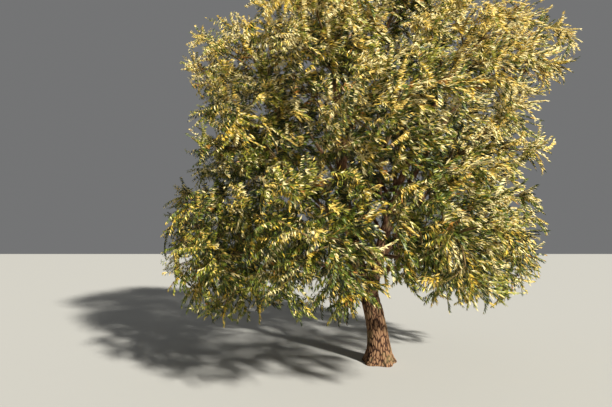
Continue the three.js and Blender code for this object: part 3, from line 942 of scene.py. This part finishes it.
def deal_kinds(shoots, owner, deep, shoot, random):
    """Deals a kind of leaf to each spray, and a few leaves of other kinds into it. The darker kinds
    deep in the crown and low on the left are painted shade. The paler ones high on the right are partly
    painted light.
    """
    kinds = np.array(list(LEAF_KINDS.values()))
    # Painted light and shade: paler kinds towards the lit right and top, darker ones low on the left
    across = shoots.ends[:, 0] / WIND_AND_LIT_SIDE["across"]
    up = (shoots.ends[:, 2] - WIND_AND_LIT_SIDE["middle"]) / WIND_AND_LIT_SIDE["height"]
    wind_and_lit_side = np.clip(0.5 + across + up, 0, 1)[:, None]
    # Painted shade: the darker kinds take over deeper in the crown
    painted_shade = ramp(deep, **PAINTED_SHADE_DEPTHS)[:, None]
    outside = kinds[:, 1] * (1 - wind_and_lit_side) + kinds[:, 2] * wind_and_lit_side
    weights = kinds[:, 0] * painted_shade + outside * (1 - painted_shade)
    mood = random.integers(len(kinds), size=owner.max() + 1)
    weights = weights + (np.arange(len(kinds))[None] == mood[owner][:, None]) * weights
    weights = weights / weights.sum(axis=1, keepdims=True)
    spray = (weights.cumsum(axis=1) < random.random((len(weights), 1))).sum(axis=1)
    own = (weights[shoot].cumsum(axis=1) < random.random((len(shoot), 1))).sum(axis=1)
    return np.where(random.random(len(shoot)) < SPRAY_SHARE, spray[shoot], own).clip(0, len(kinds) - 1)


def mesh_from_arrays(name, parts, materials):
    """One mesh of many small shapes. Each part is its shapes' corners, their faces and the material
    of each shape."""
    corners, faces, kinds, offset = [], [], [], 0
    for vertices, pattern, kind in parts:
        count, per_shape = vertices.shape[:2]
        starts = offset + np.arange(count) * per_shape
        corners.append(vertices.reshape(-1, 3))
        faces.append((starts[:, None, None] + pattern[None]).reshape(-1, 3))
        kinds.append(np.repeat(np.broadcast_to(kind, count), len(pattern)))
        offset += count * per_shape
    corners, faces, kinds = np.vstack(corners), np.vstack(faces), np.concatenate(kinds)
    mesh = bpy.data.meshes.new(name)
    mesh.vertices.add(len(corners))
    mesh.vertices.foreach_set("co", corners.ravel().astype(np.float32))
    mesh.loops.add(len(faces) * 3)
    mesh.loops.foreach_set("vertex_index", faces.ravel().astype(np.int32))
    mesh.polygons.add(len(faces))
    mesh.polygons.foreach_set("loop_start", np.arange(len(faces), dtype=np.int32) * 3)
    for material in materials:
        mesh.materials.append(material)
    mesh.polygons.foreach_set("material_index", kinds.astype(np.int32))
    mesh.update()
    return add_object(name, mesh)


# Materials


def add_node(material, kind, settings=None, links=None):
    """Adds a node with its settings, and links other nodes' outputs to its inputs"""
    node = material.node_tree.nodes.new(f"ShaderNode{kind}")
    for key, value in (settings or {}).items():
        if isinstance(key, str) and hasattr(node, key):
            setattr(node, key, value)
        else:
            node.inputs[key].default_value = value
    for key, output in (links or {}).items():
        material.node_tree.links.new(output, node.inputs[key])
    return node


def new_material(name):
    material = bpy.data.materials.new(name)
    material.use_nodes = True
    material.node_tree.nodes.clear()
    return material


def plain_material(name, colour, roughness, specular):
    """A finish that is the same all over"""
    material = new_material(name)
    settings = {"Base Color": (*colour, 1), "Roughness": roughness, "Specular IOR Level": specular}
    shader = add_node(material, "BsdfPrincipled", settings)
    add_node(material, "OutputMaterial", {}, {"Surface": shader.outputs["BSDF"]})
    material.diffuse_color = (*colour, 1)
    return material


def leaf_materials(leaf):
    """Willow leaves: a thin waxy upper side that shines a little, and an underside with silky down
    that is matt and pale"""
    made = []
    for kind in LEAF_KINDS:
        finish = DOWNY if kind.endswith("underside") else WAXY
        made.append(plain_material(f"willow_leaf_{kind}", getattr(leaf, kind), *finish))
    return made


def bark_material(bark):
    """Willow bark: corky ridges that weather to grey, brown sides and near-black fissures, whose near-black
    is partly painted shade. It is dry and rough, so it has next to no gloss."""
    name = "fissured_willow_bark"
    if name in bpy.data.materials:
        return bpy.data.materials[name]
    material = new_material(name)
    place = add_node(material, "Attribute", {"attribute_name": "bark_place"}).outputs["Vector"]
    height = add_node(material, "Attribute", {"attribute_name": "bark_height"}).outputs["Fac"]
    # Fibres 4 mm across and 60 mm long, drawn at 9 mm so that they show
    stretched = add_node(material, "Mapping", {"Scale": (1, 1, FIBRE["stretch"])}, {"Vector": place})
    settings = {"Scale": 1 / FIBRE["noise"], "Detail": 5.0, "Roughness": 0.62}
    fibres = add_node(material, "TexNoise", settings, {"Vector": stretched.outputs["Vector"]}).outputs["Fac"]
    settings = {"Scale": 1 / MOSS_PATCH, "Detail": 3.0, "Roughness": 0.55}
    patches = add_node(material, "TexNoise", settings, {"Vector": place}).outputs["Fac"]
    settings = {"operation": "MULTIPLY_ADD", 1: FIBRE["share"], 2: -FIBRE["share"] / 2}
    uneven = add_node(material, "Math", settings, {0: fibres})
    level = add_node(material, "Math", {"operation": "ADD"}, {0: height, 1: uneven.outputs[0]})
    wood = add_node(material, "ValToRGB", {}, {"Fac": level.outputs[0]})
    stops = wood.color_ramp.elements
    # The crack's near-black at the fissures' bottoms is partly painted shade
    stops[0].position, stops[0].color = BARK_STOPS[0], (*bark.crack, 1)
    stops[1].position, stops[1].color = BARK_STOPS[2], (*bark.ridge, 1)
    stops.new(BARK_STOPS[1]).color = (*bark.plate, 1)
    settings = {"From Min": 0.52, "From Max": 0.7, "To Min": 0.0, "To Max": 0.55}
    mossy = add_node(material, "MapRange", settings, {"Value": patches}).outputs["Result"]
    settings = {"data_type": "RGBA", "blend_type": "MIX", 7: (*bark.moss, 1)}
    mixed = add_node(material, "Mix", settings, {"Factor": mossy, 6: wood.outputs["Color"]})
    bump = add_node(material, "Bump", {"Strength": 0.7, "Distance": 0.006}, {"Height": fibres})
    settings = {"Roughness": 0.93, "Specular IOR Level": 0.2}
    links = {"Base Color": mixed.outputs[2], "Normal": bump.outputs["Normal"]}
    shader = add_node(material, "BsdfPrincipled", settings, links)
    add_node(material, "OutputMaterial", {}, {"Surface": shader.outputs["BSDF"]})
    return material


# Operators


class WILLOW_OT_trunk(bpy.types.Operator):
    """Make the trunk's bark, with the feet of the boughs that leave it"""

    bl_idname = "willow.trunk"
    bl_label = "Trunk"

    def execute(self, context):
        bark = context.scene.willow.bark
        trunk = LIMBS[0]
        bm = bmesh.new()
        spine = Spine(trunk, TRUNK_TUBE["step"])
        spine.thin((trunk.length - FORK["height"], trunk.length), (1, FORK["share"]))
        loft(bm, spine, TRUNK_TUBE["sides"])
        flare_out(bm, spine)
        spines = [Spine(trunk, PATTERN_STEP)]
        for bough in LIMBS:
            if bough.carrier is trunk:
                stub = Spine(bough, STUB_TUBE["step"], end=STUB)
                stub.thin((STUB - SEAM, STUB), (1, SEAM_THINNING))
                loft(bm, stub, STUB_TUBE["sides"])
                spines.append(Spine(bough, PATTERN_STEP, end=STUB))
        made = finish_mesh(bm, "trunk_bark")
        remesh(made, **SKIN)
        raise_bark(made, spines, bark)
        made.data.materials.append(bark_material(bark))
        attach(made, "root")
        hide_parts("trunk")
        return {"FINISHED"}


class WILLOW_OT_boughs(bpy.types.Operator):
    """Make the bark of the boughs"""

    bl_idname = "willow.boughs"
    bl_label = "Boughs"

    def execute(self, context):
        bark = context.scene.willow.bark
        bm = bmesh.new()
        spines = []
        for bough in LIMBS[1:]:
            start = STUB - SEAM if bough.carrier is LIMBS[0] else 0
            spine = Spine(bough, BOUGH_TUBE["step"], start)
            spines.append(Spine(bough, BOUGH_TUBE["step"], start))
            if start:
                spine.thin((start, STUB), (SEAM_THINNING, 1))
            sides = round(math.tau * bough.foot_radius / BOUGH_TUBE["face"])
            loft(bm, spine, int(np.clip(sides, *BOUGH_TUBE["sides"])))
        made = finish_mesh(bm, "bough_bark")
        raise_bark(made, spines, bark)
        made.data.materials.append(bark_material(bark))
        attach(made, "root")
        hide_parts(*[bough.name for bough in LIMBS[1:]])
        return {"FINISHED"}


class WILLOW_OT_foliage(bpy.types.Operator):
    """Grow the twigs and leaves of every mass"""

    bl_idname = "willow.foliage"
    bl_label = "Foliage"

    def execute(self, context):
        leaf = context.scene.willow.leaf
        bark = context.scene.willow.bark
        leaves = leaf_materials(leaf)
        wood = [
            plain_material("willow_twig_bark", bark.twig, *TWIG_BARK),
            plain_material("willow_shoot_bark", bark.shoot, *SHOOT_BARK),
        ]
        for lobe in LOBES:
            stem, branches, twigs, shoots, owner, deep, random = grow(lobe, leaf)
            parts = [
                (*twig_arrays(stem, STEM), 0),
                (*twig_arrays(branches, BRANCH), 0),
                (*twig_arrays(twigs, TWIG), 0),
                (*twig_arrays(shoots, SHOOT), 1),
            ]
            wooden = mesh_from_arrays(f"twigs_{lobe.name}", parts, wood)
            wooden.data.shade_smooth()
            placed = place_leaves(shoots, deep, lobe, leaf, random)
            kinds = deal_kinds(shoots, owner, deep, placed.shoot, random)
            inner = deep[placed.shoot] > INNER
            parts = [
                (*blades(placed.some(~inner), OUTLINE), kinds[~inner]),
                (*blades(placed.some(inner), INNER_OUTLINE), kinds[inner]),
            ]
            leafy = mesh_from_arrays(f"foliage_{lobe.name}", parts, leaves)
            for made in (wooden, leafy):
                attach(made, "root")
                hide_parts(f"leaves_{lobe.name}")
        return {"FINISHED"}


class WILLOW_OT_stage(bpy.types.Operator):
    """Set the floor, the light and the camera"""

    bl_idname = "willow.stage"
    bl_label = "Stage"

    def execute(self, context):
        settings = context.scene.willow.stage
        scene = context.scene
        bm = bmesh.new()
        bmesh.ops.create_grid(bm, x_segments=1, y_segments=1, size=FLOOR_SIZE)
        floor = finish_mesh(bm, "studio_floor")
        floor.data.materials.append(plain_material("matt_floor_paint", settings.floor, *MATT_PAINT))
        scene.view_settings.view_transform = "Standard"
        scene.world = bpy.data.worlds.new("studio")
        scene.world.use_nodes = True
        surround = scene.world.node_tree.nodes["Background"]
        surround.inputs["Color"].default_value = (*settings.sky, 1)
        surround.inputs["Strength"].default_value = settings.surround_strength
        key = add_object("key", bpy.data.lights.new("key", "SUN"))
        key.data.energy = settings.sun_strength
        key.data.angle = math.radians(SUN["angle"])
        key.data.color = SUN["colour"]
        key.rotation_euler = Vector(SUN["way"]).to_track_quat("-Z", "Y").to_euler()
        camera = add_object("camera", bpy.data.cameras.new("camera"))
        camera.data.sensor_width = CAMERA["sensor"]
        camera.data.lens = CAMERA["lens"]
        camera.location = CAMERA["place"]
        camera.rotation_euler = (math.radians(90 + CAMERA["tilt"]), 0, 0)
        scene.camera = camera
        return {"FINISHED"}


class WILLOW_PT_panel(bpy.types.Panel):
    """The willow's steps and settings"""

    bl_label = "Willow"
    bl_space_type = "VIEW_3D"
    bl_region_type = "UI"
    bl_category = "Willow"

    def draw(self, context):
        willow = context.scene.willow
        self.layout.operator("willow.boughs")
        for step, settings in (("trunk", willow.bark), ("foliage", willow.leaf), ("stage", willow.stage)):
            self.layout.operator(f"willow.{step}")
            for name in settings.__annotations__:
                self.layout.prop(settings, name)


CLASSES = (
    LeafSettings,
    BarkSettings,
    StageSettings,
    WillowSettings,
    WILLOW_OT_trunk,
    WILLOW_OT_boughs,
    WILLOW_OT_foliage,
    WILLOW_OT_stage,
    WILLOW_PT_panel,
)


def register():
    for item in CLASSES:
        bpy.utils.register_class(item)
    bpy.types.Scene.willow = PointerProperty(type=WillowSettings)


def unregister():
    del bpy.types.Scene.willow
    for item in reversed(CLASSES):
        bpy.utils.unregister_class(item)


def main():
    register()
    bpy.ops.willow.stage()
    bpy.ops.willow.trunk()
    bpy.ops.willow.boughs()
    bpy.ops.willow.foliage()
    bpy.context.view_layer.update()


if __name__ == "__main__":
    main()
